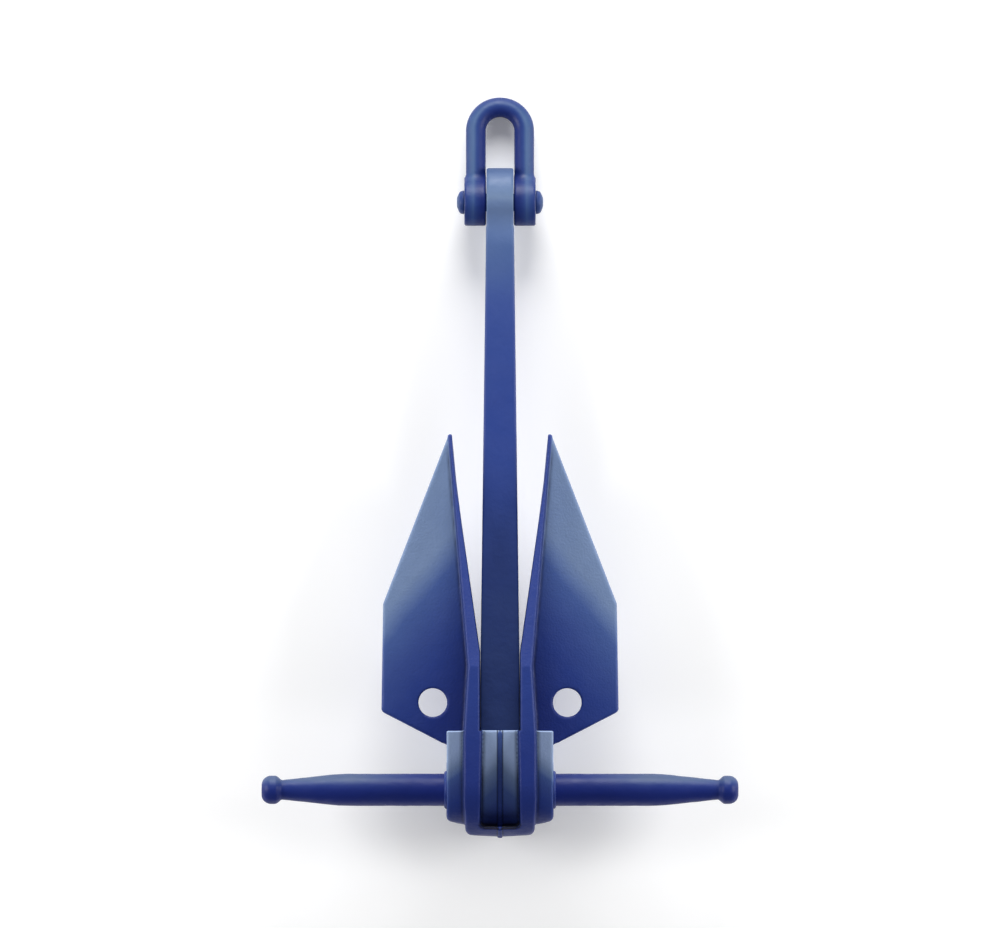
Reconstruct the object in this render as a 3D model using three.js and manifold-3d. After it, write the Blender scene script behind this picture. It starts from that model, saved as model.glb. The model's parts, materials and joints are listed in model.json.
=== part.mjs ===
// A ship's anchor with two flukes and a stock through its crown, lying on a floor.
//
// Two mirrored steel castings, each a fluke with half of the crown, close round the stepped head of
// the shank and are welded along their seam. The stock is one forged bar through both castings and
// the shank's head. The shank swings on it until it meets the palms of the crown. A shackle turns
// on a riveted pin through the shank's eye.
//
// Millimetres. While a piece is made, X runs along the stock, Y from the stock's axis towards the
// shackle, and Z out of the plane of the flukes.

import * as THREE from "three";
import { mergeVertices } from "three/addons/utils/BufferGeometryUtils.js";
import Module from "manifold-3d";

const wasm = await Module();
wasm.setup();

// Crown and flukes
const landHeight = 205; // half the crown's thickness: the anchor lies on these lands
const landFoot = 27; // where the lands start to round down to the base
const landTop = 338; // where the ribs start to taper to the tips
const ribHalfSpan = 98; // outer sides of the ribs at the crown
const ribKnee = 86.7; // outer sides of the ribs where they start to taper
const base = -128.6; // foot of the crown on the centre line
const baseHalfDepth = 55;
const tip = new THREE.Vector2(136, 971);
const tipHalfDepth = 9;
const slotHalfWidth = 55.5; // between the ribs, for the shank
const palmTop = 164; // free edge of the palms
const palmHalfDepth = 190;
const palmFoot = -102;
const palmFootHalfDepth = 92;
const lobeEnd = 145; // outer faces of the crown
const lobeRadius = 95;
const lobeFoot = -86; // foot of the lobes at their outer end, a little up from the ribs' side
const lobePalmHalfDepth = 180;
const lobePalmThickness = 26;
const lobeNeckRadius = 78;
const shoulder = new THREE.Vector2(317.5, 507);
const heel = new THREE.Vector2(322, 214);
const holeCentre = new THREE.Vector2(183.4, 238);
const holeRadius = 39;
const seamGap = 0.3;
const notchHalfWidth = 8; // the V along the seam, before it is welded
const notchDepth = 10;

// Stock
const stockRadius = 44;
const stockHalfLength = 650;
const stockTaperStart = 430;
const neckRadius = 26.5;
const knobRadius = 38;

// Shank
const swing = THREE.MathUtils.degToRad(30); // to each side of the flukes
const hubRadius = 80;
const hubHalfWidth = 73;
const trunnionRadius = 62.5;
const trunnionEnd = 125;
const shankHalfWidth = 54;
const shankHalfDepth = 60;
const throatY = 1500; // slimmest part, just below the eye
const throatHalfWidth = 38;
const throatHalfDepth = 52;
const pinY = 1608;
const eyeRadius = 80;
const eyeEdge = 10; // chamfer round the eye
const eyeY = 1622; // the eye is round about a point past its hole, for strength under load
const cheekHalfWidth = 36.8; // flat cheeks between the shackle's lugs

// Shackle
const barRadius = 27;
const shackleHalfGap = 39;
const bowY = 200; // from the pin to the centre of the bow
const lugRadius = 64;
const lugInnerFace = 38.2;
const lugFace = 97.5;
const pinRadius = 24;
const pinHeadRadius = 33;
const pinHeadHeight = 20;

// Clearances between pieces
const running = 2;
const fitted = 0.5;
const weldLeg = 8;

// How the anchor lies: crown on its lands, the shank's eye and the shackle's bow on the floor.
const bowCentreLine = shackleHalfGap + barRadius;
const shankDrop = Math.asin((landHeight - eyeRadius) / eyeY);
const pinHeight = landHeight - pinY * Math.sin(shankDrop);
const shackleDrop = Math.asin((pinHeight - barRadius) / (bowY + bowCentreLine));

const steelBlue = paint(0x2a4288);
const deepBlue = paint(0x1f3376);
const weldBlue = paint(0x263d80);

function paint(colour) {
  return new THREE.MeshStandardMaterial({ color: colour, roughness: 0.42, metalness: 0.1 });
}

// A closed geometry as a solid for joining and cutting.
function solid(geometry) {
  const bare = new THREE.BufferGeometry().setAttribute("position", geometry.getAttribute("position"));
  if (geometry.index) bare.setIndex(geometry.index);
  const merged = mergeVertices(bare, 1e-3);
  const mesh = new wasm.Mesh({
    numProp: 3,
    vertProperties: merged.attributes.position.array,
    triVerts: new Uint32Array(merged.index.array),
  });
  return new wasm.Manifold(mesh);
}

// A solid back as a geometry.
function shapeOf(body) {
  const mesh = body.getMesh();
  return new THREE.BufferGeometry()
    .setAttribute("position", new THREE.BufferAttribute(mesh.vertProperties, 3))
    .setIndex(new THREE.BufferAttribute(mesh.triVerts, 1));
}

// An outline seen from above, given depth to both sides of the flukes' plane.
function plate(outline, halfDepth, curveSegments = 8) {
  const options = { depth: 2 * halfDepth, bevelEnabled: false, curveSegments };
  return new THREE.ExtrudeGeometry(outline, options).translate(0, 0, -halfDepth);
}

// An outline seen from the side, in Y and Z, given width from one X to another.
function slab(outline, fromX, toX, curveSegments = 12) {
  const options = { depth: toX - fromX, bevelEnabled: false, curveSegments };
  const onSide = new THREE.Matrix4().set(0, 0, 1, fromX, 1, 0, 0, 0, 0, 1, 0, 0, 0, 0, 0, 1);
  return new THREE.ExtrudeGeometry(outline, options).applyMatrix4(onSide);
}

// A profile of [radius, x] points turned about the X axis.
function turned(profile, segments) {
  const points = profile.map(([radius, x]) => new THREE.Vector2(radius, x));
  return new THREE.LatheGeometry(points, segments).rotateZ(-Math.PI / 2);
}

function drum(radius, fromX, toX, segments = 32) {
  return turned([[0, fromX], [radius, fromX], [radius, toX], [0, toX]], segments);
}

function polygon(points) {
  return new THREE.Shape(points.map(([x, y]) => new THREE.Vector2(x, y)));
}

// Closed rings of equal length, one after another, skinned and capped.
function skin(rings) {
  const count = rings[0].length;
  const centre = (ring) =>
    ring.reduce((sum, point) => sum.add(point), new THREE.Vector3()).divideScalar(count);
  const points = [...rings.flat(), centre(rings[0]), centre(rings.at(-1))];
  const firstCap = points.length - 2;
  const lastRing = (rings.length - 1) * count;
  const faces = [];
  for (let i = 0; i < count; i++) {
    const next = (i + 1) % count;
    faces.push(firstCap, next, i, firstCap + 1, lastRing + i, lastRing + next);
    for (let ring = 0; ring < lastRing; ring += count) {
      faces.push(ring + i, ring + next, ring + count + next);
      faces.push(ring + i, ring + count + next, ring + count + i);
    }
  }
  return new THREE.BufferGeometry().setFromPoints(points).setIndex(faces);
}

// A path in the Y and Z plane, followed by a section of [x, out] points, out being to the path's left.
function seamBead(path, section) {
  const rings = path.map((point, i) => {
    const before = path[Math.max(i - 1, 0)];
    const after = path[Math.min(i + 1, path.length - 1)];
    const normals = [[before, point], [point, after]]
      .filter(([a, b]) => a !== b)
      .map(([a, b]) => b.clone().sub(a).normalize())
      .map((along) => new THREE.Vector2(-along.y, along.x));
    const out = normals[0].clone().add(normals.at(-1)).normalize();
    out.divideScalar(out.dot(normals[0]));
    return section.map(([x, rise]) => new THREE.Vector3(x, point.x + out.x * rise, point.y + out.y * rise));
  });
  return skin(rings);
}

// Half-depth of the fluke's blade, thick at the rib and thin at its edge and tip.
function bladeHalfDepth(x, y) {
  return 16 - 0.0343 * (x - 87) - 0.0165 * (y - landTop);
}

// The flat blade, with its inner edge inside the rib.
function blade() {
  const outline = new THREE.Shape();
  outline.moveTo(tip.x - 1, tip.y - 3);
  outline.lineTo(70, landTop);
  outline.lineTo(90, 60);
  outline.lineTo(lobeEnd - 10, 60);
  outline.lineTo(lobeEnd - 10, 106);
  outline.quadraticCurveTo(lobeEnd - 4, 120, lobeEnd + 14, 129);
  outline.lineTo(heel.x - 9, heel.y - 4.5);
  outline.quadraticCurveTo(heel.x, heel.y, heel.x, heel.y + 10);
  outline.lineTo(shoulder.x, shoulder.y);
  outline.lineTo(tip.x + 3.5, tip.y - 5);
  const geometry = plate(outline, 1, 4);
  const position = geometry.getAttribute("position");
  for (let i = 0; i < position.count; i++) {
    const side = Math.sign(position.getZ(i));
    position.setZ(i, side * bladeHalfDepth(position.getX(i), position.getY(i)));
  }
  const hole = drum(holeRadius, -50, 50, 28).rotateY(Math.PI / 2).translate(holeCentre.x, holeCentre.y, 0);
  return solid(geometry).subtract(solid(hole));
}

// The outline from the side that the ribs and the rim share: lands, rounded foot and long taper.
function ribProfile() {
  const foot = landFoot - base;
  const profile = new THREE.Shape();
  profile.moveTo(tip.y, tipHalfDepth);
  profile.lineTo(landTop, landHeight);
  profile.lineTo(landFoot, landHeight);
  const rise = landHeight - baseHalfDepth;
  profile.absellipse(landFoot, baseHalfDepth, foot, rise, Math.PI / 2, Math.PI);
  profile.lineTo(base, -baseHalfDepth);
  profile.absellipse(landFoot, -baseHalfDepth, foot, rise, Math.PI, Math.PI * 1.5);
  profile.lineTo(landTop, -landHeight);
  profile.lineTo(tip.y, -tipHalfDepth);
  return profile;
}

// The rib from the tip to the crown, and the rim that joins the two ribs at the crown's foot.
function ribAndRim() {
  const outline = new THREE.Shape();
  outline.moveTo(0, base);
  outline.lineTo(72, -123);
  outline.quadraticCurveTo(91, -121, 94, -96);
  outline.lineTo(ribHalfSpan, -20);
  outline.lineTo(ribHalfSpan, 150);
  outline.lineTo(ribKnee, landTop);
  outline.lineTo(tip.x + 3, tip.y - 4);
  outline.quadraticCurveTo(tip.x, tip.y + 4, tip.x - 4, tip.y - 4);
  outline.lineTo(122, 842);
  outline.lineTo(slotHalfWidth, 376);
  outline.lineTo(slotHalfWidth, palmTop);
  outline.lineTo(50, palmTop);
  outline.lineTo(slotHalfWidth, palmFoot + 16);
  outline.quadraticCurveTo(slotHalfWidth, palmFoot + 1, 41, palmFoot + 1);
  outline.lineTo(0, palmFoot);
  return solid(plate(outline, landHeight)).intersect(solid(slab(ribProfile(), -1, 160)));
}

// The body of the crown between the ribs, its upper and lower palm sloping from the free edge to the rim.
function palmBody() {
  const foot = palmFoot - 8;
  return solid(slab(polygon([
    [palmTop, palmHalfDepth],
    [palmFoot, palmFootHalfDepth],
    [foot, palmFootHalfDepth],
    [foot, -palmFootHalfDepth],
    [palmFoot, -palmFootHalfDepth],
    [palmTop, -palmHalfDepth],
  ]), 0, slotHalfWidth + 6));
}

// The end of the crown outside the rib: a boss round the stock with a palm flaring from each side.
function lobe() {
  const reach = Math.hypot(palmTop, lobePalmHalfDepth);
  const slope = Math.atan2(lobePalmHalfDepth, palmTop) - Math.asin(lobeRadius / reach);
  const inner = (lobeRadius - lobePalmThickness) / lobeNeckRadius;
  const neck = Math.PI / 2 + slope - Math.acos(inner);
  const edge = lobePalmHalfDepth - lobePalmThickness / Math.cos(slope);
  const side = new THREE.Shape();
  side.moveTo(palmTop, lobePalmHalfDepth);
  side.absarc(0, 0, lobeRadius, Math.PI / 2 + slope, Math.PI * 1.5 - slope);
  side.lineTo(palmTop, -lobePalmHalfDepth);
  side.lineTo(palmTop, -edge);
  side.absarc(0, 0, lobeNeckRadius, -neck, neck);
  side.lineTo(palmTop, edge);

  const above = new THREE.Shape();
  above.moveTo(80, -lobeRadius);
  above.lineTo(ribHalfSpan, -lobeRadius);
  above.lineTo(lobeEnd - 15, lobeFoot);
  above.quadraticCurveTo(lobeEnd - 1, lobeFoot + 3, lobeEnd, lobeFoot + 17);
  above.lineTo(lobeEnd, palmTop);
  above.lineTo(80, palmTop);
  return solid(slab(side, 80, lobeEnd, 16)).intersect(solid(plate(above, landHeight)));
}

// What the shank needs inside the crown: room to swing, and stepped bores for its head and the stock.
function crownHollow() {
  const clear = shankHalfDepth + running;
  const stop = (y) => (clear + y * Math.sin(swing)) / Math.cos(swing);
  const past = palmTop + 60;
  const room = slab(polygon([
    [0, stop(0)],
    [0, -stop(0)],
    [past, -stop(past)],
    [past, stop(past)],
  ]), -1, slotHalfWidth);
  return solid(room)
    .add(solid(drum(hubRadius + running, -1, hubHalfWidth + running, 40)))
    .add(solid(drum(trunnionRadius + running, -1, trunnionEnd + running, 40)))
    .add(solid(drum(stockRadius + fitted, -1, lobeEnd + 20, 40)));
}

// The line of a seam weld over a palm, from its foot to its free edge.
const palmSeam = [
  new THREE.Vector2(palmFoot, palmFootHalfDepth),
  new THREE.Vector2(palmTop, palmHalfDepth),
];
const lowerPalmSeam = palmSeam.map((point) => new THREE.Vector2(point.x, -point.y)).reverse();

// The line of the seam weld over the rim, from the upper palm round the foot to the lower one.
function rimSeam() {
  const foot = landFoot - base;
  const rise = landHeight - baseHalfDepth;
  const start = 0.59; // the share of the quarter turn that the palm's slope leaves free
  const half = [0, 0.25, 0.5, 0.75, 1].map((step) => {
    const angle = (Math.PI / 2) * (1 + start + step * (1 - start));
    return [landFoot + foot * Math.cos(angle), baseHalfDepth + rise * Math.sin(angle)];
  });
  const under = half.map(([y, z]) => [y, -z]).reverse();
  return [...half, ...under].map(([y, z]) => new THREE.Vector2(y, z)).reverse();
}

// The notch along both castings' edges that a seam weld fills.
function seamNotch(path) {
  return solid(seamBead(path, [[notchHalfWidth, 3], [0, -notchDepth], [-notchHalfWidth, 3]]));
}

// A seam weld: a wedge in the notch with a low crown.
function seamWeld(path) {
  const edge = notchHalfWidth - 2;
  const root = 1 - notchDepth;
  return seamBead(path, [[-4, 2], [0, 2.6], [4, 2], [edge, 0.5], [0, root], [-edge, 0.5]]);
}

// One casting, for the side where X is positive: fluke, rib and half of the crown.
function flukeCasting() {
  const seams = [palmSeam, lowerPalmSeam, rimSeam()].map(seamNotch);
  const otherHalf = new THREE.BoxGeometry(20, 600, 600).translate(seamGap / 2 - 10, 0, 0);
  let body = ribAndRim().add(palmBody()).add(lobe()).add(blade());
  body = body.subtract(crownHollow()).subtract(solid(otherHalf));
  for (const seam of seams) body = body.subtract(seam);
  return shapeOf(body);
}

// The forged stock: parallel through the crown, tapered towards its ends, with a knob on each.
function stockBar() {
  const half = [
    [stockRadius, stockTaperStart],
    [stockRadius - 2.3, 465],
    [stockRadius - 6, 492],
    [31.6, 546],
    [28.3, 574],
    [neckRadius, 603],
    [33.5, 608],
    [37, 616],
    [knobRadius, 625],
    [36, 635],
    [29, 644],
    [16, 649],
    [0, stockHalfLength],
  ];
  const mirrored = half.map(([radius, x]) => [radius, -x]).reverse();
  return turned([...mirrored, ...half], 28);
}

// The fillet weld that holds the stock in the crown, on the side where X is positive.
function stockWeld() {
  const inside = stockRadius + 0.4;
  const face = lobeEnd + 0.3;
  return turned([
    [inside, face],
    [inside + weldLeg, face],
    [inside + weldLeg * 0.42, face + weldLeg * 0.42],
    [inside, face + weldLeg],
    [inside, face],
  ], 28);
}

// A ring round the shank at one Y: a rectangle with round corners.
function shankRing(y, halfWidth, halfDepth, radius = 12) {
  const ring = [];
  for (let corner = 0; corner < 4; corner++) {
    for (let step = 0; step <= 2; step++) {
      const angle = (Math.PI / 2) * (corner + step / 2);
      const signX = corner === 0 || corner === 3 ? 1 : -1;
      const signZ = corner < 2 ? 1 : -1;
      const x = signX * (halfWidth - radius) + radius * Math.cos(angle);
      const z = signZ * (halfDepth - radius) + radius * Math.sin(angle);
      ring.push(new THREE.Vector3(x, y, z));
    }
  }
  return ring.reverse();
}

// The forged shank: stepped head bored for the stock, tapered bar, and eye with flat cheeks.
function shankForging() {
  const bar = skin([
    shankRing(0, shankHalfWidth, shankHalfDepth),
    shankRing(280, shankHalfWidth, shankHalfDepth),
    shankRing(throatY, throatHalfWidth + 0.6, throatHalfDepth),
    shankRing(1545, throatHalfWidth, 60),
    shankRing(1580, throatHalfWidth - 0.3, 70),
    shankRing(eyeY, throatHalfWidth - 0.6, eyeRadius - 3),
  ]);
  const eye = turned([
    [0, -throatHalfWidth],
    [eyeRadius - eyeEdge, -throatHalfWidth],
    [eyeRadius - 3, -throatHalfWidth + 3],
    [eyeRadius, -throatHalfWidth + eyeEdge],
    [eyeRadius, throatHalfWidth - eyeEdge],
    [eyeRadius - 3, throatHalfWidth - 3],
    [eyeRadius - eyeEdge, throatHalfWidth],
    [0, throatHalfWidth],
  ], 40).translate(0, eyeY, 0);
  const cheekFoot = pinY - lugRadius - 3 * running;
  const overCheek = new THREE.BoxGeometry(20, 400, 400).translate(cheekHalfWidth + 10, cheekFoot + 200, 0);
  const otherCheek = overCheek.clone().translate(-2 * cheekHalfWidth - 20, 0, 0);
  return shapeOf(
    solid(bar)
      .add(solid(drum(hubRadius, -hubHalfWidth, hubHalfWidth, 40)))
      .add(solid(drum(trunnionRadius, -trunnionEnd, trunnionEnd, 40)))
      .add(solid(eye))
      .subtract(solid(overCheek))
      .subtract(solid(otherCheek))
      .subtract(solid(drum(stockRadius + running, -200, 200, 40)))
      .subtract(solid(drum(pinRadius + running, -60, 60).translate(0, pinY, 0))),
  );
}

// The shackle's bow, with its pin's axis on X: a round bar bent to a U, with a forged lug at each end.
function shackleBow() {
  const line = [[bowCentreLine, 0], [bowCentreLine, bowY]];
  const bends = 12;
  for (let i = 1; i < bends; i++) {
    const angle = (Math.PI * i) / bends;
    line.push([bowCentreLine * Math.cos(angle), bowY + bowCentreLine * Math.sin(angle)]);
  }
  line.push([-bowCentreLine, bowY], [-bowCentreLine, 0]);
  const sides = 16;
  const rings = line.map(([x, y], i) => {
    const turn = THREE.MathUtils.clamp(((i - 1) / bends) * Math.PI, 0, Math.PI);
    return Array.from({ length: sides }, (_, k) => {
      const angle = (-2 * Math.PI * k) / sides;
      const out = barRadius * Math.cos(angle);
      return new THREE.Vector3(x + out * Math.cos(turn), y + out * Math.sin(turn), barRadius * Math.sin(angle));
    });
  });
  const lug = turned([
    [0, lugInnerFace],
    [lugRadius, lugInnerFace],
    [lugRadius, lugFace - 4],
    [lugRadius - 4, lugFace],
    [0, lugFace],
  ], 36);
  const otherLug = lug.clone().rotateY(Math.PI);
  const hole = drum(pinRadius + fitted, -lugFace - 10, lugFace + 10);
  return shapeOf(solid(skin(rings)).add(solid(lug)).add(solid(otherLug)).subtract(solid(hole)));
}

// The pin, riveted over to a dome at both ends.
function shacklePin() {
  const seat = lugFace + 0.3;
  const dome = [
    [pinRadius, seat],
    [pinHeadRadius, seat],
    [pinHeadRadius - 1, seat + 4],
    [pinHeadRadius * 0.86, seat + pinHeadHeight * 0.52],
    [pinHeadRadius * 0.55, seat + pinHeadHeight * 0.85],
    [0, seat + pinHeadHeight],
  ];
  const mirrored = dome.map(([radius, x]) => [radius, -x]).reverse();
  return turned([...mirrored, ...dome], 32);
}

function piece(name, geometry, material) {
  const mesh = new THREE.Mesh(geometry, material);
  mesh.name = name;
  return mesh;
}

// Both castings, the stock and the welds that make them one body.
function head() {
  const group = new THREE.Group();
  group.add(
    piece("stock", stockBar(), steelBlue),
    piece("upper_palm_weld", seamWeld(palmSeam), weldBlue),
    piece("lower_palm_weld", seamWeld(lowerPalmSeam), weldBlue),
    piece("rim_weld", seamWeld(rimSeam()), weldBlue),
  );
  const casting = flukeCasting();
  const weld = stockWeld();
  for (const [name, side] of [["left", -1], ["right", 1]]) {
    const fluke = piece(name + "_fluke", casting, deepBlue);
    const ring = piece(name + "_stock_weld", weld, weldBlue);
    fluke.scale.x = side;
    ring.scale.x = side;
    group.add(fluke, ring);
  }
  return group;
}

function shackle() {
  const group = new THREE.Group();
  group.add(piece("shackle_bow", shackleBow(), steelBlue), piece("shackle_pin", shacklePin(), steelBlue));
  return group;
}

// The shank and its shackle, lying lower towards the shackle's end.
function shank() {
  const group = new THREE.Group();
  const end = shackle();
  end.position.y = pinY;
  end.rotation.x = shankDrop - shackleDrop;
  group.add(piece("shank", shankForging(), steelBlue), end);
  group.rotation.x = -shankDrop;
  return group;
}

// The whole anchor, centred over its footprint, with the floor at Z = 0.
const anchor = new THREE.Group();
anchor.add(head(), shank());
const extent = new THREE.Box3().setFromObject(anchor, true);
const middle = extent.getCenter(new THREE.Vector3());
anchor.position.set(-middle.x, -middle.y, -extent.min.z);

const part = new THREE.Group();
part.add(anchor);

export default part;
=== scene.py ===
import json
import math

import bpy
import numpy as np
from mathutils import Matrix, Vector


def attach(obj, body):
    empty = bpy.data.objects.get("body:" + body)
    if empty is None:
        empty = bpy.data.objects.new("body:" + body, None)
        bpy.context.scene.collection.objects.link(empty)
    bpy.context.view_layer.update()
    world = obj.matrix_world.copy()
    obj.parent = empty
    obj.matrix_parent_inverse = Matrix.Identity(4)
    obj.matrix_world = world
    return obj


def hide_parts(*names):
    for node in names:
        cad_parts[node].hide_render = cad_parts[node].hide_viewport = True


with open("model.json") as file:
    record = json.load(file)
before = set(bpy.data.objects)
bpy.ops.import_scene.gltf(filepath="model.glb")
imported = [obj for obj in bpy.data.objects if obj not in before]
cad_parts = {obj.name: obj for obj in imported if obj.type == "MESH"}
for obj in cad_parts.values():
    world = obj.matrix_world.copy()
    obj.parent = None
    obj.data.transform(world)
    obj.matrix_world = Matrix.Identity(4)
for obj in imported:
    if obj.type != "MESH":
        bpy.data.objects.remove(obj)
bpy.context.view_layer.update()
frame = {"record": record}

# ---------------------------------------------------------------------------------------------
# Camera and studio. The anchor lies on a pale floor and is seen from straight above, from far off
# through a long lens, with its shackle at the top. Broad soft lights stand all round it.

joints = {joint["name"]: joint for joint in frame["record"]["behaviour"]["joints"]}
stock_axis = Vector(joints["fluke_swing"]["pos_m"])

view_width = 2.727
lens = 900
camera_data = bpy.data.cameras.new("camera")
camera_data.lens = lens
camera_data.clip_end = 300
camera = bpy.data.objects.new("camera", camera_data)
sight_from_stock = 0.8885
distance = view_width * lens / camera_data.sensor_width
camera.location = stock_axis + Vector((0, sight_from_stock, distance))
bpy.context.collection.objects.link(camera)
bpy.context.scene.camera = camera
bpy.context.scene.view_settings.view_transform = "Standard"


def studio_light(name, place, power, reflected=True):
    """A broad soft light that faces the middle of the anchor and isn't seen itself."""
    data = bpy.data.lights.new(name, "AREA")
    data.shape = "DISK"
    data.size = 4
    data.energy = power
    light = bpy.data.objects.new(name, data)
    light.location = place
    light.rotation_euler = (-Vector(place)).to_track_quat("-Z", "Y").to_euler()
    light.visible_camera = False
    light.visible_glossy = reflected
    bpy.context.collection.objects.link(light)


studio_light("head_light", (0, 7.2, 3.2), 650)
studio_light("right_light", (6.4, 0.6, 3.4), 350)
studio_light("left_light", (-6.4, 0.6, 3.4), 350)
studio_light("foot_light", (0, -7.2, 3.6), 130, reflected=False)

world = bpy.data.worlds.new("studio")
world.use_nodes = True
world.node_tree.nodes["Background"].inputs["Color"].default_value = (1, 1, 1, 1)
world.node_tree.nodes["Background"].inputs["Strength"].default_value = 0.14
bpy.context.scene.world = world

floor_half = 40
floor_mesh = bpy.data.meshes.new("floor")
floor_corners = [(-1, -1, 0), (1, -1, 0), (1, 1, 0), (-1, 1, 0)]
floor_mesh.from_pydata([Vector(c) * floor_half for c in floor_corners], [], [(0, 1, 2, 3)])
floor = bpy.data.objects.new("floor", floor_mesh)
bpy.context.collection.objects.link(floor)
floor_paint = bpy.data.materials.new("pale_floor")
floor_paint.use_nodes = True
floor_shader = floor_paint.node_tree.nodes["Principled BSDF"]
floor_shader.inputs["Base Color"].default_value = (0.9, 0.9, 0.9, 1)
floor_shader.inputs["Roughness"].default_value = 0.8
floor_shader.inputs["Emission Color"].default_value = (1, 1, 1, 1)
floor_shader.inputs["Emission Strength"].default_value = 0.15
floor_mesh.materials.append(floor_paint)

# ---------------------------------------------------------------------------------------------
# Flukes. Two mirrored steel castings, each a blade and rib with half of the crown, which has a palm
# between the ribs and a lobe outside. Edges and inner corners have cast radii, and a parting line
# runs all round. Light and shade are painted into the blue paint: a painted highlight towards the
# tips and the free edges of the palms, and painted shade towards the crown and in inner corners.

MM = 0.001


def outline_distance(corners, u, v):
    """Distance from points to a closed outline, in millimetres, negative inside it."""
    nearest = np.full(np.broadcast(u, v).shape, 1e12)
    side = np.ones(nearest.shape)
    for (au, av), (bu, bv) in zip(corners, corners[1:] + corners[:1]):
        du, dv = bu - au, bv - av
        pu, pv = u - au, v - av
        share = np.clip((pu * du + pv * dv) / (du * du + dv * dv), 0, 1)
        nearest = np.minimum(nearest, (pu - du * share) ** 2 + (pv - dv * share) ** 2)
        over, under, left = v >= av, v < bv, du * pv > dv * pu
        side = np.where((over & under & left) | ~(over | under | left), -side, side)
    return side * np.sqrt(nearest)


def arc(centre, radii, first, last, steps=10):
    """Corners along an arc of an ellipse, its angles in degrees."""
    (across, up), (wide, high) = centre, radii
    angles = np.radians(np.linspace(first, last, steps))
    return [(across + wide * math.cos(a), up + high * math.sin(a)) for a in angles]


def join(a, b, fillet):
    """Two solids as one, with a fillet in the corner between them."""
    corner = np.hypot(np.maximum(fillet - a, 0), np.maximum(fillet - b, 0))
    return np.maximum(fillet, np.minimum(a, b)) - corner


def keep_within(a, b, edge):
    """What two solids share, with its new edges rounded."""
    corner = np.hypot(np.maximum(edge + a, 0), np.maximum(edge + b, 0))
    return np.minimum(-edge, np.maximum(a, b)) + corner


def cut(a, b, edge):
    """The first solid without the second, with its new edges rounded."""
    return keep_within(a, -b, edge)


def slopes(solid, points):
    """How fast the distance to a solid grows along X, Y and Z at each point."""
    reach = 0.4
    steps = np.eye(3) * reach
    rises = [solid(*(points + step).T) - solid(*(points - step).T) for step in steps]
    return np.stack(rises, 1) / (2 * reach)


def skin(solid, low, high, grain):
    """The surface of a solid as points, four-sided faces about one grain across, and normals."""
    grid = [np.arange(a, b + grain, grain) for a, b in zip(low, high)]
    value = solid(grid[0][:, None, None], grid[1][None, :, None], grid[2][None, None, :])
    inside = value < 0
    cells = np.array(value.shape) - 1
    total = np.zeros((cells.prod(), 3))
    count = np.zeros(cells.prod())
    faces = []
    for axis in range(3):
        across, up = (axis + 1) % 3, (axis + 2) % 3
        crossed = np.argwhere(np.diff(inside, axis=axis))
        ahead = crossed.copy()
        ahead[:, axis] += 1
        start, end = value[tuple(crossed.T)], value[tuple(ahead.T)]
        spot = crossed.astype(float)
        spot[:, axis] += start / (start - end)
        ring = []
        for step_across, step_up in ((0, 0), (-1, 0), (-1, -1), (0, -1)):
            cell = crossed.copy()
            cell[:, across] += step_across
            cell[:, up] += step_up
            index = np.ravel_multi_index(cell.T, cells)
            for i in range(3):
                total[:, i] += np.bincount(index, spot[:, i], len(count))
            count += np.bincount(index, minlength=len(count))
            ring.append(index)
        ring = np.stack(ring, 1)
        ring[start > 0] = ring[start > 0][:, ::-1]
        faces.append(ring)
    used = np.flatnonzero(count)
    renumber = np.full(len(count), -1)
    renumber[used] = np.arange(len(used))
    points = np.array(low) + grain * total[used] / count[used][:, None]
    for _ in range(3):
        slope = slopes(solid, points)
        move = slope * (solid(*points.T) / np.maximum((slope**2).sum(1), 0.2))[:, None]
        points -= np.clip(move, -0.3 * grain, 0.3 * grain)
    return points, renumber[np.concatenate(faces)], slopes(solid, points)


def make_piece(name, points, faces, material, painted_shading, place=Matrix(), corner=0):
    """A piece from points in millimetres, with its painted light and shade, dark to pale, and the
    painted shade in its inner corners, 0 to 1.
    """
    flat = np.array(place.to_3x3())
    points = points @ flat.T * MM + np.array(place.translation)
    mesh = bpy.data.meshes.new(name)
    mesh.from_pydata(points.tolist(), [], faces)
    mesh.shade_smooth()
    # Stores the painted light and shade, and the painted shade in inner corners, on each point.
    for kind, values in (("painted_shading", painted_shading), ("corner", corner)):
        values = np.maximum(np.broadcast_to(values, len(points)), 0).astype(np.float32)
        mesh.attributes.new(kind, "FLOAT", "POINT").data.foreach_set("value", values)
    mesh.materials.append(material)
    piece = bpy.data.objects.new(name, mesh)
    bpy.context.collection.objects.link(piece)
    return piece


land_height = 205
land_foot = 27
land_top = 338
base = -128.6
base_half_depth = 55
rim_reach = land_foot - base
rim_rise = land_height - base_half_depth
tip = (136, 971)
slot_half_width = 55.5
palm_top = 164
palm_foot = -102
palm_half_depth = 190
palm_foot_half_depth = 92
lobe_end = 145
lobe_radius = 95
lobe_palm_half_depth = 180
lobe_palm_thickness = 26
lobe_neck_radius = 78
blade_root = 87
blade_root_half_depth = 16
thinner_outwards = 0.0343
thinner_to_tip = 0.0165
hole = (183.4, 238)
hole_radius = 39
swing = math.radians(30)
shank_half_room = 62
stock_bore_radius = 44.5
hub_bore = (82, 75)  # its radius and half its width, as for the next
trunnion_bore = (64.5, 127)

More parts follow.
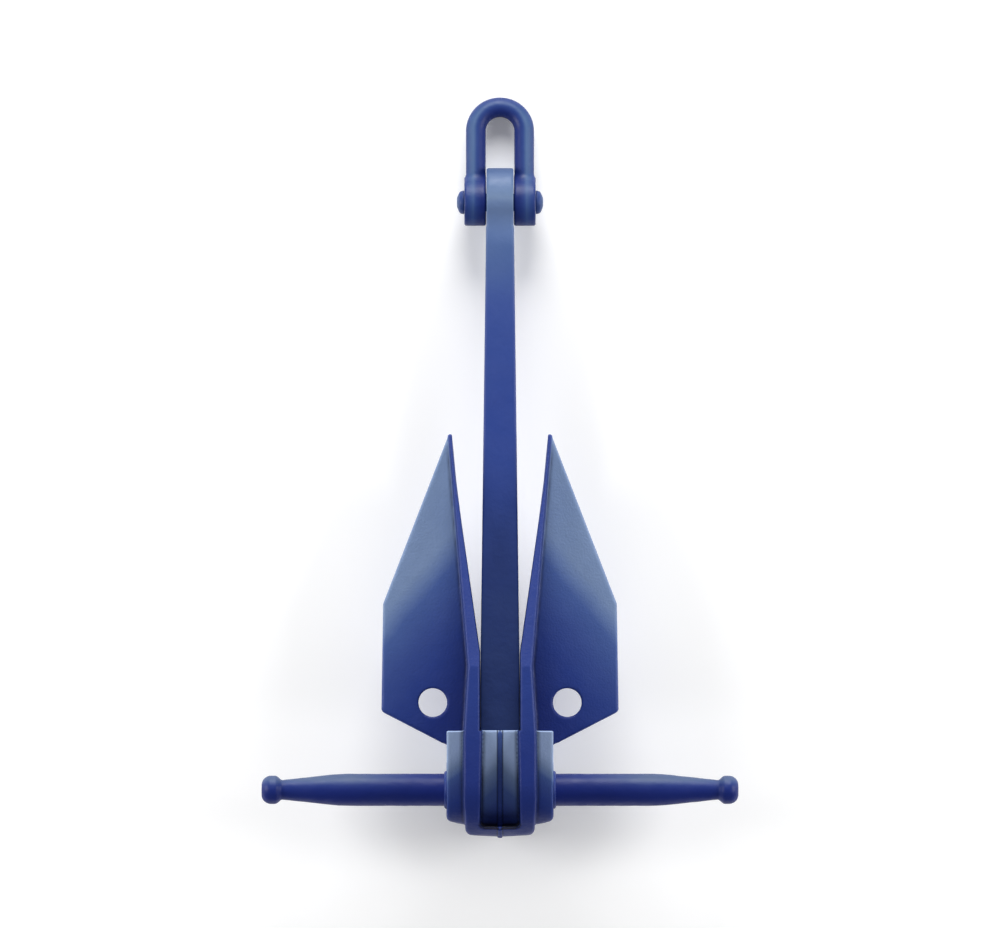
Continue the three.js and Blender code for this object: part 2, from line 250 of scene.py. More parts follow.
rib_outline = [
    (-20, base),
    (0, base),
    (72, -123),
    *arc((76, -105), (17.5, 17.5), -85, -5, 6),
    (98, -20),
    (98, 150),
    (86.7, land_top),
    (tip[0] + 3, tip[1] - 4),
    (tip[0] - 3, tip[1] - 4),
    (122, 842),
    (slot_half_width, 376),
    (slot_half_width, palm_top),
    (50, palm_top),
    *arc((41.5, palm_foot + 15), (14, 14), 0, -90, 6),
    (-20, palm_foot),
]
rib_profile = [
    (tip[1], 9),
    (land_top, land_height),
    *arc((land_foot, base_half_depth), (rim_reach, rim_rise), 90, 180, 18),
    *arc((land_foot, -base_half_depth), (rim_reach, rim_rise), 180, 270, 18),
    (land_top, -land_height),
    (tip[1], -9),
]
palm_section = [
    (palm_top, palm_half_depth),
    (palm_foot, palm_foot_half_depth),
    (palm_foot - 14, palm_foot_half_depth),
    (palm_foot - 14, -palm_foot_half_depth),
    (palm_foot, -palm_foot_half_depth),
    (palm_top, -palm_half_depth),
]
blade_outline = [
    (tip[0] - 1, tip[1] - 3),
    (70, land_top),
    (90, 60),
    (lobe_end - 10, 60),
    (lobe_end - 10, 106),
    *arc((lobe_end + 14, 101), (24, 28), 170, 95, 6),
    (313, 209.5),
    *arc((311, 221), (11, 11), -75, 0, 5),
    (317.5, 507),
    (tip[0] + 3.5, tip[1] - 5),
]
lobe_reach = math.hypot(palm_top, lobe_palm_half_depth)
lobe_slope = math.atan2(lobe_palm_half_depth, palm_top) - math.asin(lobe_radius / lobe_reach)
lobe_turn = math.degrees(lobe_slope)
lobe_inner = (lobe_radius - lobe_palm_thickness) / lobe_neck_radius
lobe_neck = 90 + lobe_turn - math.degrees(math.acos(lobe_inner))
lobe_edge = lobe_palm_half_depth - lobe_palm_thickness / math.cos(lobe_slope)
lobe_section = [
    (palm_top, lobe_palm_half_depth),
    *arc((0, 0), (lobe_radius, lobe_radius), 90 + lobe_turn, 270 - lobe_turn, 20),
    (palm_top, -lobe_palm_half_depth),
    (palm_top, -lobe_edge),
    *arc((0, 0), (lobe_neck_radius, lobe_neck_radius), -lobe_neck, lobe_neck, 14),
    (palm_top, lobe_edge),
]
lobe_foot = -86
lobe_outline = [
    (70, -lobe_radius),
    (98, -lobe_radius),
    *arc((lobe_end - 15, lobe_foot + 15), (15, 15), -75, 0, 6),
    (lobe_end, palm_top),
    (70, palm_top),
]


def stop_line(y):
    """Half the room that the shank needs at its stops, at a distance from the stock."""
    return (shank_half_room + y * math.sin(swing)) / math.cos(swing)


room_end = palm_top + 60
room_section = [
    (0, stop_line(0)),
    (0, -stop_line(0)),
    (room_end, -stop_line(room_end)),
    (room_end, stop_line(room_end)),
]


def rib_solid(x, y, z):
    return keep_within(outline_distance(rib_outline, x, y), outline_distance(rib_profile, y, z), 6)


def palm_solid(x, y, z):
    return keep_within(outline_distance(palm_section, y, z), x - slot_half_width - 6, 5)


def lobe_solid(x, y, z):
    body = outline_distance(lobe_section, y, z)
    return keep_within(body, outline_distance(lobe_outline, x, y), 5)


def blade_solid(x, y, z):
    half_depth = blade_root_half_depth - thinner_outwards * (x - blade_root)
    half_depth = half_depth - thinner_to_tip * (y - land_top)
    return keep_within(outline_distance(blade_outline, x, y), np.abs(z) - half_depth, 3.5)


parting_rise = 1.3
parting_half_width = 4


def casting(x, y, z):
    """One casting, for the side where X is positive, with a low parting line all round its edge."""
    around_stock = np.hypot(y, z)
    body = join(rib_solid(x, y, z), palm_solid(x, y, z), 5)
    body = join(body, lobe_solid(x, y, z), 6)
    body = join(body, blade_solid(x, y, z), 7)
    body = body - parting_rise * np.maximum(0, 1 - np.abs(z) / parting_half_width)
    room_half_width = np.where(y < palm_top, slot_half_width, slot_half_width - 6)
    room = np.maximum(outline_distance(room_section, y, z), x - room_half_width)
    bore = around_stock - stock_bore_radius
    for radius, half_width in (hub_bore, trunnion_bore):
        bore = np.minimum(bore, np.maximum(around_stock - radius, x - half_width))
    body = cut(body, room, 4)
    body = cut(body, bore, 2)
    body = cut(body, np.hypot(x - hole[0], y - hole[1]) - hole_radius, 4)
    return keep_within(body, 0.15 - x, 2.5)


# Painted light and shade: where along each part of the casting the paint runs from dark to pale.
blade_painted_shading = [385, 550, 658, 768, 815, 862], [0.05, 0.35, 0.6, 0.8, 0.9, 1]
rib_painted_shading = [-99, 81, 272, 330, 408, 545, 900], [0, 0.1, 0.34, 0.34, 0.25, 0.3, 0.35]
palm_painted_shading = [-88, -42, 0, 40, 67, 95], [0.25, 0.66, 0.84, 0.97, 1.13, 1.22]
lobe_painted_shading = [-88, -42, 13, 40, 67, 95], [0, 0.3, 0.68, 0.9, 1.08, 1.22]


def casting_painted_shading(points):
    """Painted highlight towards the tip and shoulder of the blade and the free edges of the palms,
    painted shade towards the crown.
    """
    x, y, z = points.T
    rules = [
        (blade_solid(x, y, z), np.interp(y + 1.2 * x, *blade_painted_shading)),
        (rib_solid(x, y, z), np.interp(y, *rib_painted_shading)),
        (palm_solid(x, y, z), np.interp(y + 0.9 * (x - 27), *palm_painted_shading)),
        (lobe_solid(x, y, z), np.interp(y + 0.7 * (x - 117) - 10, *lobe_painted_shading)),
    ]
    shares = [np.exp(-np.abs(distance) / 1.5) + 1e-9 for distance, _ in rules]
    return sum(share * painted_shading for share, (_, painted_shading) in zip(shares, rules)) / sum(shares)


def painted_corner_shade(solid, points, normals):
    """How deep in an inner corner each point of a solid's surface lies, from 0 to 1, which sets how
    much painted shade it gets.
    """
    reaches = (4, 9, 18)
    closed = [1 - solid(*(points + normals * reach).T) / reach for reach in reaches]
    return np.clip(sum(closed) / len(reaches), 0, 1)


def paint_card(code):
    """A paint's colour from its code on the screen, as the renderer counts light."""
    parts = [int(code[i : i + 2], 16) / 255 for i in (0, 2, 4)]
    return (*[c / 12.92 if c < 0.04045 else ((c + 0.055) / 1.055) ** 2.4 for c in parts], 1)


# Dark paint laid into inner corners as painted shade.
painted_shade_code = "070d26"
# The fluke paint from painted shade at 0 to painted highlight at 1 and past it.
fluke_colours = [
    (0, "16276a"),
    (0.35, "25397d"),
    (0.6, "344887"),
    (0.8, "435a94"),
    (0.9, "5f75a2"),
    (1, "7186aa"),
    (1.3, "a3b8dc"),
]


def marine_paint(name, colours, grain_size, grain_depth, gloss):
    """Blue marine paint with light and shade painted in: its colours along a piece's painted light
    and shade, with painted shade in inner corners, over steel with a grain of its own.
    """
    palest = colours[-1][0]
    cloudiness = 0.09
    material = bpy.data.materials.new(name)
    material.use_nodes = True
    nodes, links = material.node_tree.nodes, material.node_tree.links
    shader = nodes["Principled BSDF"]
    shader.inputs["Specular IOR Level"].default_value = 0.25
    place = nodes.new("ShaderNodeTexCoord")
    painted_shading = nodes.new("ShaderNodeAttribute")
    painted_shading.attribute_name = "painted_shading"

    cloud = nodes.new("ShaderNodeTexNoise")
    cloud.inputs["Scale"].default_value = 7
    cloud.inputs["Detail"].default_value = 4
    links.new(place.outputs["Object"], cloud.inputs["Vector"])
    drift = nodes.new("ShaderNodeMath")
    drift.operation = "MULTIPLY_ADD"
    drift.inputs[1].default_value = cloudiness
    links.new(cloud.outputs["Fac"], drift.inputs[0])
    links.new(painted_shading.outputs["Fac"], drift.inputs[2])
    level = nodes.new("ShaderNodeMapRange")
    level.inputs["From Min"].default_value = cloudiness / 2
    level.inputs["From Max"].default_value = palest + cloudiness / 2
    links.new(drift.outputs[0], level.inputs["Value"])
    card = nodes.new("ShaderNodeValToRGB")
    stops = card.color_ramp.elements
    for i, (position, code) in enumerate(colours):
        stop = stops[i] if i < 2 else stops.new(position / palest)
        stop.position = position / palest
        stop.color = paint_card(code)
    links.new(level.outputs["Result"], card.inputs["Fac"])
    # Painted shade: dark paint mixed in where a point lies deep in an inner corner.
    corner = nodes.new("ShaderNodeAttribute")
    corner.attribute_name = "corner"
    shade_depth = nodes.new("ShaderNodeMapRange")
    shade_depth.inputs["From Min"].default_value = 0.06
    shade_depth.inputs["From Max"].default_value = 0.4
    links.new(corner.outputs["Fac"], shade_depth.inputs["Value"])
    shaded = nodes.new("ShaderNodeMix")
    shaded.data_type = "RGBA"
    shaded.inputs["B"].default_value = paint_card(painted_shade_code)
    links.new(shade_depth.outputs["Result"], shaded.inputs["Factor"])
    links.new(card.outputs["Color"], shaded.inputs["A"])
    links.new(shaded.outputs["Result"], shader.inputs["Base Color"])

    wear = nodes.new("ShaderNodeTexNoise")
    wear.inputs["Scale"].default_value = 24
    wear.inputs["Detail"].default_value = 5
    links.new(place.outputs["Object"], wear.inputs["Vector"])
    matt = nodes.new("ShaderNodeMapRange")
    matt.inputs["From Min"].default_value = 0.3
    matt.inputs["From Max"].default_value = 0.7
    matt.inputs["To Min"].default_value = gloss - 0.05
    matt.inputs["To Max"].default_value = gloss + 0.08
    links.new(wear.outputs["Fac"], matt.inputs["Value"])
    links.new(matt.outputs["Result"], shader.inputs["Roughness"])

    grain = nodes.new("ShaderNodeTexNoise")
    grain.inputs["Scale"].default_value = 1 / grain_size
    grain.inputs["Detail"].default_value = 3
    links.new(place.outputs["Object"], grain.inputs["Vector"])
    swell = nodes.new("ShaderNodeTexNoise")
    swell.inputs["Scale"].default_value = 16
    swell.inputs["Detail"].default_value = 2
    links.new(place.outputs["Object"], swell.inputs["Vector"])
    grain_bump = nodes.new("ShaderNodeBump")
    grain_bump.inputs["Distance"].default_value = grain_depth
    links.new(grain.outputs["Fac"], grain_bump.inputs["Height"])
    swell_bump = nodes.new("ShaderNodeBump")
    swell_bump.inputs["Distance"].default_value = 0.002
    links.new(swell.outputs["Fac"], swell_bump.inputs["Height"])
    links.new(swell_bump.outputs["Normal"], grain_bump.inputs["Normal"])
    links.new(grain_bump.outputs["Normal"], shader.inputs["Normal"])
    return material


fluke_paint = marine_paint("fluke_paint", fluke_colours, 0.006, 0.001, 0.46)
casting_grain = 4.6
casting_low = (-5, -140, -46.5 * casting_grain)
casting_high = (330, 984, 214)
points, faces, normals = skin(casting, casting_low, casting_high, casting_grain)
# Painted light and shade for each point of the casting.
casting_painted_tone = casting_painted_shading(points)
# Painted shade in a narrow strip beside the seam, where the weld beads meet the casting.
seam_toe_painted_shade = np.interp(points[:, 0], [4, 6, 9], [0, 0.45, 0])
casting_painted_corner_shade = np.maximum(painted_corner_shade(casting, points, normals), seam_toe_painted_shade)
for name, side in (("left_fluke", -1), ("right_fluke", 1)):
    fluke = make_piece(
        name + "_casting",
        points * (side, 1, 1),
        faces[:, ::side].tolist(),
        fluke_paint,
        casting_painted_tone,
        Matrix.Translation(stock_axis),
        casting_painted_corner_shade,
    )
    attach(fluke, "head")
    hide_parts(name)

# ---------------------------------------------------------------------------------------------
# Stock. One forged round bar through the crown and the shank's head, parallel inside, tapered
# towards each end, with a knob forged on each end to stop a rope slipping off.


def rounded(corners, steps=8):
    """A profile with its corners rounded, each given as x, r and the radius of its arc."""
    line = []
    for i, (x, r, radius) in enumerate(corners):
        here = Vector((x, r))
        if radius == 0:
            line.append((x, r))
            continue
        back = (Vector(corners[i - 1][:2]) - here).normalized()
        on = (Vector(corners[i + 1][:2]) - here).normalized()
        half = back.angle(on) / 2
        centre = here + (back + on).normalized() * radius / math.sin(half)
        start = here + back * radius / math.tan(half) - centre
        end = here + on * radius / math.tan(half) - centre
        for step in range(steps + 1):
            between = start.slerp(end, step / steps) if start.angle(end) > 1e-4 else start
            line.append(tuple(centre + between.normalized() * radius))
    return line


stock_radius = 44
stock_half = [
    (10, stock_radius, 0),
    (436, stock_radius, 700),
    (596, 26.6, 8),
    (610, 38.8, 14),
    *[(x, r, 0) for x, r in arc((624, 14), (26, 24.8), 90, 0, 14)],
    (650, 0, 0),
]
right_end = rounded(stock_half)
left_end = [(-x, r) for x, r in reversed(right_end)]


def stock_painted_highlight(x, y, z):
    """A painted highlight on the side towards the shackle, more so towards the ends, and painted
    shade on the far side.
    """
    lit = np.clip(y / stock_radius, -1, 1)
    out = np.interp(np.abs(x), [150, 245, 400, 520, 650], [0.1, 0.35, 0.9, 0.95, 0.85])
    return np.interp(lit, [-0.6, 0.0, 0.3, 0.65], [0, 0.08, 0.4, 1]) * out


def node_tree(name, inputs, output):
    """A geometry tree with named inputs, and short ways to add nodes and sums to it."""
    tree = bpy.data.node_groups.new(name, "GeometryNodeTree")
    for socket, kind in inputs.items():
        tree.interface.new_socket(socket, in_out="INPUT", socket_type="NodeSocket" + kind)
    tree.interface.new_socket(output, in_out="OUTPUT", socket_type="NodeSocketGeometry")
    nodes, links = tree.nodes, tree.links

    def node(kind, **settings):
        made = nodes.new(kind)
        for key, value in settings.items():
            setattr(made, key, value)
        return made

    def sum_node(operation, *values):
        made = node("ShaderNodeMath", operation=operation)
        for socket, value in zip(made.inputs, values):
            if isinstance(value, (int, float)):
                socket.default_value = value
            else:
                links.new(value, socket)
        return made.outputs[0]

    return tree, node, sum_node


def sweep(tree, node, run, section):
    """A section carried along a run, its size following the run's radius, with both ends closed."""
    swept = node("GeometryNodeCurveToMesh")
    swept.inputs["Fill Caps"].default_value = True
    tree.links.new(run, swept.inputs["Curve"])
    tree.links.new(section, swept.inputs["Profile Curve"])
    size = node("GeometryNodeInputRadius")
    tree.links.new(size.outputs[0], swept.inputs["Scale"])
    return swept.outputs[0]


def finish_tree(tree, node, shape, paint):
    """Smooth shading, real geometry and the paint, as the last nodes of a tree."""
    smooth = node("GeometryNodeSetShadeSmooth")
    tree.links.new(shape, smooth.inputs["Geometry"])
    real = node("GeometryNodeRealizeInstances")
    tree.links.new(smooth.outputs[0], real.inputs[0])
    painted = node("GeometryNodeSetMaterial")
    tree.links.new(real.outputs[0], painted.inputs["Geometry"])
    tree.links.new(paint, painted.inputs["Material"])
    tree.links.new(painted.outputs[0], node("NodeGroupOutput").inputs[0])


def bar_tree():
    """Geometry Nodes that forge a round bar along a run of stations, each with its own radius."""
    inputs = {"Stations": "Geometry", "Sides": "Int", "Hammering": "Float", "Paint": "Material"}
    tree, node, sum_node = node_tree("forged_bar", inputs, "Bar")
    links = tree.links
    given = node("NodeGroupInput").outputs
    run = node("GeometryNodeMeshToCurve")
    links.new(given["Stations"], run.inputs[0])
    girth = node("GeometryNodeInputNamedAttribute", data_type="FLOAT")
    girth.inputs["Name"].default_value = "girth"
    radius = node("GeometryNodeSetCurveRadius")
    links.new(run.outputs[0], radius.inputs["Curve"])
    links.new(girth.outputs[0], radius.inputs["Radius"])
    circle = node("GeometryNodeCurvePrimitiveCircle")
    circle.inputs["Radius"].default_value = 1
    links.new(given["Sides"], circle.inputs["Resolution"])
    bar = sweep(tree, node, radius.outputs[0], circle.outputs["Curve"])

    blows = node("ShaderNodeTexNoise")
    blows.inputs["Scale"].default_value = 26
    blows.inputs["Detail"].default_value = 1
    lift = sum_node("MULTIPLY", sum_node("SUBTRACT", blows.outputs[0], 0.5), given["Hammering"])
    outward = node("GeometryNodeInputNormal")
    push = node("ShaderNodeVectorMath", operation="SCALE")
    links.new(outward.outputs[0], push.inputs[0])
    links.new(lift, push.inputs["Scale"])
    hammered = node("GeometryNodeSetPosition")
    links.new(bar, hammered.inputs["Geometry"])
    links.new(push.outputs[0], hammered.inputs["Offset"])
    finish_tree(tree, node, hammered.outputs[0], given["Paint"])
    return tree


def grow(name, tree, line, settings):
    """A plain mesh that a tree makes from a line, with the tree's other inputs by name."""
    source = bpy.data.objects.new(name + "_line", line)
    bpy.context.collection.objects.link(source)
    modifier = source.modifiers.new("shape", "NODES")
    modifier.node_group = tree
    for item in tree.interface.items_tree:
        if item.in_out == "INPUT" and item.name in settings:
            modifier[item.identifier] = settings[item.name]
    depsgraph = bpy.context.evaluated_depsgraph_get()
    mesh = bpy.data.meshes.new_from_object(source.evaluated_get(depsgraph))
    source.modifiers.remove(modifier)
    bpy.data.objects.remove(source)
    mesh.name = name
    piece = bpy.data.objects.new(name, mesh)
    bpy.context.collection.objects.link(piece)
    return piece


def spots(mesh):
    """A mesh's points in metres, from the stock's axis."""
    places = np.empty(len(mesh.vertices) * 3)
    mesh.vertices.foreach_get("co", places)
    return places.reshape(-1, 3) - np.array(stock_axis)


longest_step = 6
stations = []
profile = left_end[1:] + right_end[:-1]
for (x, r), (next_x, next_r) in zip(profile, profile[1:]):
    parts = max(1, math.ceil((next_x - x) / longest_step))
    stations += [(x + (next_x - x) * k / parts, r + (next_r - r) * k / parts) for k in range(parts)]
stations.append(profile[-1])
axis_line = bpy.data.meshes.new("stock_axis")
axis_line.from_pydata(
    [Vector((x * MM, 0, 0)) + stock_axis for x, _ in stations],
    [(k, k + 1) for k in range(len(stations) - 1)],
    [],
)
girths = [r * MM for _, r in stations]
axis_line.attributes.new("girth", "FLOAT", "POINT").data.foreach_set("value", girths)
# The stock paint from painted shade at 0 to painted highlight at 1.
stock_colours = [(0, "12226a"), (0.35, "1f3172"), (0.65, "37497a"), (1, "4a5b7a")]
stock_paint = marine_paint("stock_paint", stock_colours, 0.012, 0.0008, 0.46)
stock_sizes = {"Sides": 80, "Hammering": 0.0016, "Paint": stock_paint}
stock = grow("stock_bar", bar_tree(), axis_line, stock_sizes)
# Painted highlight and shade for each point of the bar.
stock_painted_tone = stock_painted_highlight(*(spots(stock.data) / MM).T)
stock.data.attributes.new("painted_shading", "FLOAT", "POINT").data.foreach_set("value", stock_painted_tone)
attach(stock, "head")
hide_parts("stock")

# ---------------------------------------------------------------------------------------------
# Shank. One forging: a round stepped head that turns on the stock inside the crown, a bar that
# tapers all the way up, and a rounded eye with flat cheeks between the shackle's lugs.

pin_axis = Vector(joints["shackle_swing"]["pos_m"])
pin_from_stock = pin_axis - stock_axis
shank_drop = math.atan2(-pin_from_stock.z, pin_from_stock.y)
pin_y = pin_from_stock.length / MM
eye_y = pin_y + 14
eye_radius = 80
shank_place = Matrix.Translation(stock_axis) @ Matrix.Rotation(-shank_drop, 4, "X")
hub = (80, 73)  # its radius and half its width, as for the next
trunnion = (62.5, 125)
head_bore_radius = 46
pin_bore_radius = 26
shank_half_width = [280, 1500, 1535, 1541], [54, 38.6, 38.3, 36.8]
throat_half_depth = 52
flare = 120
flare_y = eye_y - math.sqrt((eye_radius + flare) ** 2 - (throat_half_depth + flare) ** 2)
flare_turn = math.degrees(math.asin((throat_half_depth + flare) / (eye_radius + flare)))
upper_edge = [
    (0, 60),
    (280, 60),
    *arc((flare_y, throat_half_depth + flare), (flare, flare), -90, -flare_turn, 8),
    *arc((eye_y, 0), (eye_radius, eye_radius), 180 - flare_turn, 0, 26),
]
shank_side = upper_edge + [(y, -z) for y, z in reversed(upper_edge[:-1])]


def shank_solid(x, y, z):
    x = np.abs(x)
    half_width = np.interp(y, *shank_half_width)
    body = keep_within(outline_distance(shank_side, y, z), x - half_width, 6)
    around_stock = np.hypot(y, z)
    steps = [keep_within(around_stock - radius, x - half, 3) for radius, half in (hub, trunnion)]
    body = join(body, join(*steps, 3), 3)
    body = cut(body, around_stock - head_bore_radius, 2)
    return cut(body, np.hypot(y - pin_y, z) - pin_bore_radius, 3)


# Painted light and shade along the shank: palest towards the eye, and paler again near the crown to
# offset the ribs' shadow there.
shank_painted_shading = (
    [245, 517, 790, 1063, 1281, 1472, 1600, 1640, 1690],
    [0.62, 0.62, 0.46, 0.42, 0.54, 0.8, 0.94, 1.12, 1.3],
)
# The shank paint from painted shade at 0 to painted highlight at 1; past 1 it darkens again, to
# offset the strong light on the eye.
shank_colours = [
    (0, "16276e"),
    (0.35, "25397d"),
    (0.6, "334784"),
    (0.8, "435987"),
    (0.9, "5c729c"),
    (1, "687c9c"),
    (1.15, "556b8f"),
    (1.3, "465a80"),
]
shank_paint = marine_paint("shank_paint", shank_colours, 0.012, 0.0008, 0.44)
shank_high = (132, eye_y + eye_radius + 8, 88)
points, faces, normals = skin(shank_solid, (-132, -88, -88), shank_high, 4.1)
# The shank carries painted light and shade along its length and painted shade in its inner corners.
shank = make_piece(
    "shank_forging",
    points,
    faces.tolist(),
    shank_paint,
    np.interp(points[:, 1], *shank_painted_shading),
    shank_place,
    painted_corner_shade(shank_solid, points, normals),
)
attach(shank, "shank")
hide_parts("shank")

# ---------------------------------------------------------------------------------------------
# Shackle bow. A round bar bent to a U and forged out to a thick round lug at each end, which the
# pin passes through. It lies on the floor at its far end.

bar_radius = 27
bow_y = 200
bow_line = 66
bow_end = bow_y + bow_line + bar_radius
lug_radius = 64
lug_inner = 38.2
lug_face = 97.5
lug_bore_radius = 24.5
shackle_drop = math.asin((pin_axis.z / MM - bar_radius) / (bow_y + bow_line))
shackle_place = Matrix.Translation(pin_axis) @ Matrix.Rotation(-shackle_drop, 4, "X")


def bow_solid(x, y, z):
    x = np.abs(x)
    leg = np.sqrt((x - bow_line) ** 2 + np.minimum(y, 0) ** 2 + z**2)
    bend = np.hypot(np.hypot(x, y - bow_y) - bow_line, z)
    bar = np.where(y > bow_y, bend, leg) - bar_radius
    lug = keep_within(np.hypot(y, z) - lug_radius, np.maximum(lug_inner - x, x - lug_face), 6)
    gap = np.maximum(x - lug_inner, y - bow_y + 10)
    body = np.maximum(np.maximum(join(bar, lug, 16), x - lug_face), -gap)
    return cut(body, np.hypot(y, z) - lug_bore_radius, 2)


def bow_painted_highlight(x, y, z):
    """A painted highlight along the crest of the bar and its outer half, painted shade in the loop
    and at the lugs.
    """
    x = np.abs(x)
    out = np.where(y > bow_y, np.hypot(x, y - bow_y), x) - bow_line
    across = out / bar_radius
    crest = np.interp(across, [-1, -0.55, -0.1, 0.25, 0.6, 1.1], [0, 0, 0.3, 0.85, 0.6, 0.2])
    return crest * np.interp(y, [-60, 0, 60, 120, bow_y + 30, bow_end], [0.5, 0.7, 0.9, 1, 1, 0.4])


# The shackle paint from painted shade at 0 to painted highlight at 1.
shackle_colours = [(0, "142566"), (0.35, "253b73"), (0.7, "3d557f"), (1, "4e658a")]
shackle_paint = marine_paint("shackle_paint", shackle_colours, 0.010, 0.0006, 0.44)
points, faces, normals = skin(bow_solid, (-104, -70, -70), (104, bow_end + 6, 70), 2.7)
bow = make_piece(
    "bow",
    points,
    faces.tolist(),
    shackle_paint,
    bow_painted_highlight(*points.T),
    shackle_place,
    painted_corner_shade(bow_solid, points, normals),
)
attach(bow, "shackle")
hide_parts("shackle_bow")

# ---------------------------------------------------------------------------------------------
# Shackle pin. A round steel pin through both lugs and the shank's eye, hammered over at both
# ends to a dome, so that it can't be drawn.


def turned_piece(name, profile, sides, material, painted_shading_rule, place):
    """A piece turned about the X axis from its profile, closed at both ends."""
    middle = profile[1:-1]
    angles = [2 * math.pi * k / sides for k in range(sides)]
    rings = [(x, r * math.cos(a), r * math.sin(a)) for x, r in middle for a in angles]
    points = np.array(rings + [(profile[0][0], 0, 0), (profile[-1][0], 0, 0)])
    first, last = len(rings), len(rings) + 1
    end = (len(middle) - 1) * sides
    faces = []
    for k in range(sides):
        after = (k + 1) % sides
        faces.append((first, after, k))
        faces.append((last, end + k, end + after))
        for ring in range(0, end, sides):
            faces.append((ring + k, ring + after, ring + sides + after, ring + sides + k))
    return make_piece(name, points, faces, material, painted_shading_rule(*points.T), place)


pin_radius = 24
pin_head_radius = 33
pin_head_height = 20
head_half = [
    (lug_face - 4, pin_radius, 0),
    (lug_face + 0.3, pin_radius, 0),
    (lug_face + 0.3, pin_head_radius, 2),
    (lug_face + pin_head_height * 0.62, pin_head_radius - 3, 11),
    (lug_face + pin_head_height, 13, 16),
    (lug_face + pin_head_height + 0.2, 0, 0),
]
right_head = rounded(head_half)
left_head = [(-x, r) for x, r in reversed(right_head)]


def pin_painted_highlight(x, y, z):
    """A painted highlight on the crown of each head."""
    return np.interp(np.hypot(y, z) / pin_head_radius, [0, 0.4, 1], [0.92, 0.75, 0.3])


pin = turned_piece("pin", left_head + right_head, 72, shackle_paint, pin_painted_highlight, shackle_place)
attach(pin, "shackle")
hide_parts("shackle_pin")

# ---------------------------------------------------------------------------------------------
# Welds. Runs of weld metal join the castings along their seam, over both palms and round the
# rim, and a ring of it holds the stock at each lobe. Each run shows the ripples of its pools.


def weld_tree():
    """Geometry Nodes that lay a rippled bead of weld along a path."""
    sizes = ("Width", "Height", "Ripple", "Ripple Height", "Run-out")
    inputs = {"Path": "Geometry", **{size: "Float" for size in sizes}, "Paint": "Material"}
    tree, node, sum_node = node_tree("weld_bead", inputs, "Bead")
    links = tree.links
    given = node("NodeGroupInput").outputs

    run = node("GeometryNodeMeshToCurve")
    links.new(given["Path"], run.inputs[0])
    fine = node("GeometryNodeResampleCurve", mode="LENGTH")
    links.new(run.outputs[0], fine.inputs["Curve"])
    links.new(sum_node("DIVIDE", given["Ripple"], 6), fine.inputs["Length"])
    station = node("GeometryNodeSplineParameter")
    whole = node("GeometryNodeSplineLength")
    along = node("GeometryNodeStoreNamedAttribute", data_type="FLOAT", domain="POINT")
    along.inputs["Name"].default_value = "along"
    links.new(fine.outputs[0], along.inputs["Geometry"])
    links.new(station.outputs["Length"], along.inputs["Value"])
    rest = sum_node("SUBTRACT", whole.outputs["Length"], station.outputs["Length"])
    from_end = sum_node("ADD", sum_node("MINIMUM", station.outputs["Length"], rest), 0.0004)
    share = sum_node("DIVIDE", from_end, sum_node("MAXIMUM", given["Run-out"], 1e-5))
    radius = node("GeometryNodeSetCurveRadius")
    links.new(along.outputs[0], radius.inputs["Curve"])
    links.new(sum_node("SQRT", sum_node("MINIMUM", share, 1)), radius.inputs["Radius"])

    circle = node("GeometryNodeCurvePrimitiveCircle")
    circle.inputs["Resolution"].default_value = 18
    circle.inputs["Radius"].default_value = 1
    here = node("GeometryNodeInputPosition")
    split = node("ShaderNodeSeparateXYZ")
    links.new(here.outputs[0], split.inputs[0])
    across = node("GeometryNodeStoreNamedAttribute", data_type="FLOAT", domain="POINT")
    across.inputs["Name"].default_value = "across"
    links.new(circle.outputs["Curve"], across.inputs["Geometry"])
    links.new(split.outputs["X"], across.inputs["Value"])
    flatten = node("ShaderNodeCombineXYZ")
    links.new(sum_node("DIVIDE", given["Width"], 2), flatten.inputs["X"])
    links.new(given["Height"], flatten.inputs["Y"])
    flatten.inputs["Z"].default_value = 1
    section = node("GeometryNodeTransform")
    links.new(across.outputs[0], section.inputs["Geometry"])
    links.new(flatten.outputs[0], section.inputs["Scale"])
    bead = sweep(tree, node, radius.outputs[0], section.outputs[0])

    read_along = node("GeometryNodeInputNamedAttribute", data_type="FLOAT")
    read_along.inputs["Name"].default_value = "along"
    read_across = node("GeometryNodeInputNamedAttribute", data_type="FLOAT")
    read_across.inputs["Name"].default_value = "across"
    off_middle = sum_node("ABSOLUTE", read_across.outputs[0])
    bowed = sum_node("MULTIPLY", sum_node("POWER", off_middle, 2), 1.1)
    pool = sum_node("ADD", sum_node("DIVIDE", read_along.outputs[0], given["Ripple"]), bowed)
    wave = sum_node("POWER", sum_node("FRACT", pool), 0.7)
    rise = sum_node("SINE", sum_node("MULTIPLY", wave, math.pi))
    lumps = node("ShaderNodeTexNoise")
    lumps.inputs["Scale"].default_value = 60
    uneven = sum_node("MULTIPLY_ADD", lumps.outputs[0], 1.4, 0.3)
    lift = sum_node("MULTIPLY", sum_node("MULTIPLY", rise, uneven), given["Ripple Height"])
    outward = node("GeometryNodeInputNormal")
    push = node("ShaderNodeVectorMath", operation="SCALE")
    links.new(outward.outputs[0], push.inputs[0])
    links.new(lift, push.inputs["Scale"])
    rippled = node("GeometryNodeSetPosition")
    links.new(bead, rippled.inputs["Geometry"])
    links.new(push.outputs[0], rippled.inputs["Offset"])
    finish_tree(tree, node, rippled.outputs[0], given["Paint"])
    return tree


# The weld paint runs from painted shade to painted highlight, as the flukes' paint does.
weld_paint = marine_paint("weld_paint", fluke_colours, 0.004, 0.0003, 0.38)
weld_bead = weld_tree()


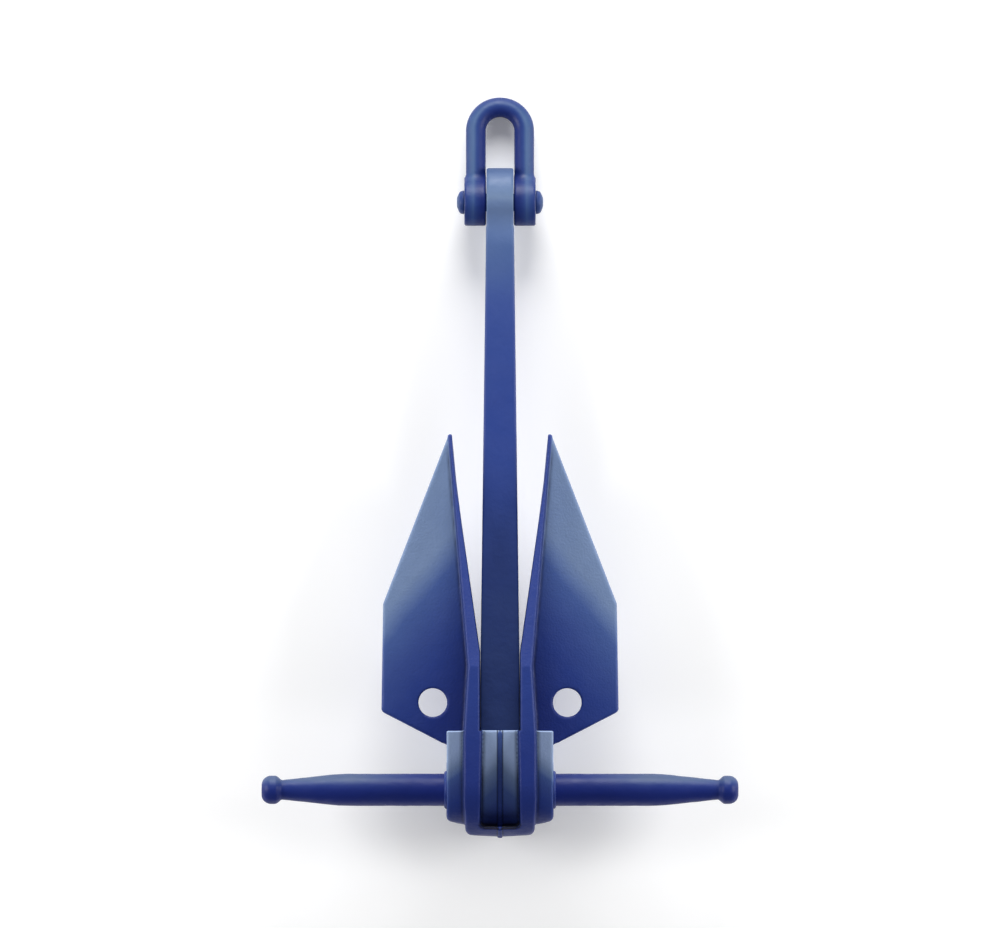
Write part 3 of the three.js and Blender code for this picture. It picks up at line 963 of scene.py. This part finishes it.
def lay_weld(name, path, closed, width, height, painted_shading, run_out=0.0):
    """A bead along a path of points in millimetres, on the head."""
    line = bpy.data.meshes.new(name + "_path")
    links = [(i, i + 1) for i in range(len(path) - 1)]
    if closed:
        links.append((len(path) - 1, 0))
    line.from_pydata([Vector(p) * MM + stock_axis for p in path], links, [])
    settings = {
        "Width": width * MM,
        "Height": height * MM,
        "Ripple": 0.007,
        "Ripple Height": 0.0011,
        "Run-out": run_out * MM,
        "Paint": weld_paint,
    }
    bead = grow(name, weld_bead, line, settings)
    # Painted light and shade along the bead.
    tone = np.clip(painted_shading(spots(bead.data)[:, 1]), 0, 1)
    bead.data.attributes.new("painted_shading", "FLOAT", "POINT").data.foreach_set("value", tone)
    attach(bead, "head")
    return bead


def seam_painted_shading(y):
    """The palms' painted light and shade, darker along the seam."""
    return 0.6 * np.interp(y / MM, *palm_painted_shading)


def ring_painted_light(y):
    """A painted highlight on the side towards the shackle, painted shade on the far side."""
    return np.interp(y / MM, [-40, 40], [0.05, 0.5])


for name, side in (("upper_palm_weld", 1), ("lower_palm_weld", -1)):
    start = (0, palm_foot + 2, side * palm_foot_half_depth)
    end = (0, palm_top - 3, side * (palm_half_depth - 2))
    bead = lay_weld(name + "_bead", [start, end], False, 12, 2.4, seam_painted_shading, 5)
    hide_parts(name)
rim_arc = [
    (0, land_foot + rim_reach * math.cos(a) + 1, base_half_depth + rim_rise * math.sin(a) - 1)
    for a in np.radians(np.linspace(150, 180, 12))
]
rim_half = [(0, palm_foot, palm_foot_half_depth + 6), (0, palm_foot, rim_arc[0][2] - 3), *rim_arc]
rim_path = rim_half + [(x, y, -z) for x, y, z in reversed(rim_half)]
bead = lay_weld("rim_weld_bead", rim_path, False, 12, 2.2, seam_painted_shading, 5)
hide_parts("rim_weld")
ring_radius = stock_radius + 1
for name, side in (("left_stock_weld", -1), ("right_stock_weld", 1)):
    ring = [
        (side * (lobe_end + 1), ring_radius * math.cos(a), ring_radius * math.sin(a))
        for a in np.linspace(0, 2 * math.pi, 96, endpoint=False)
    ]
    bead = lay_weld(name + "_bead", ring, True, 11, 6, ring_painted_light)
    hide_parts(name)
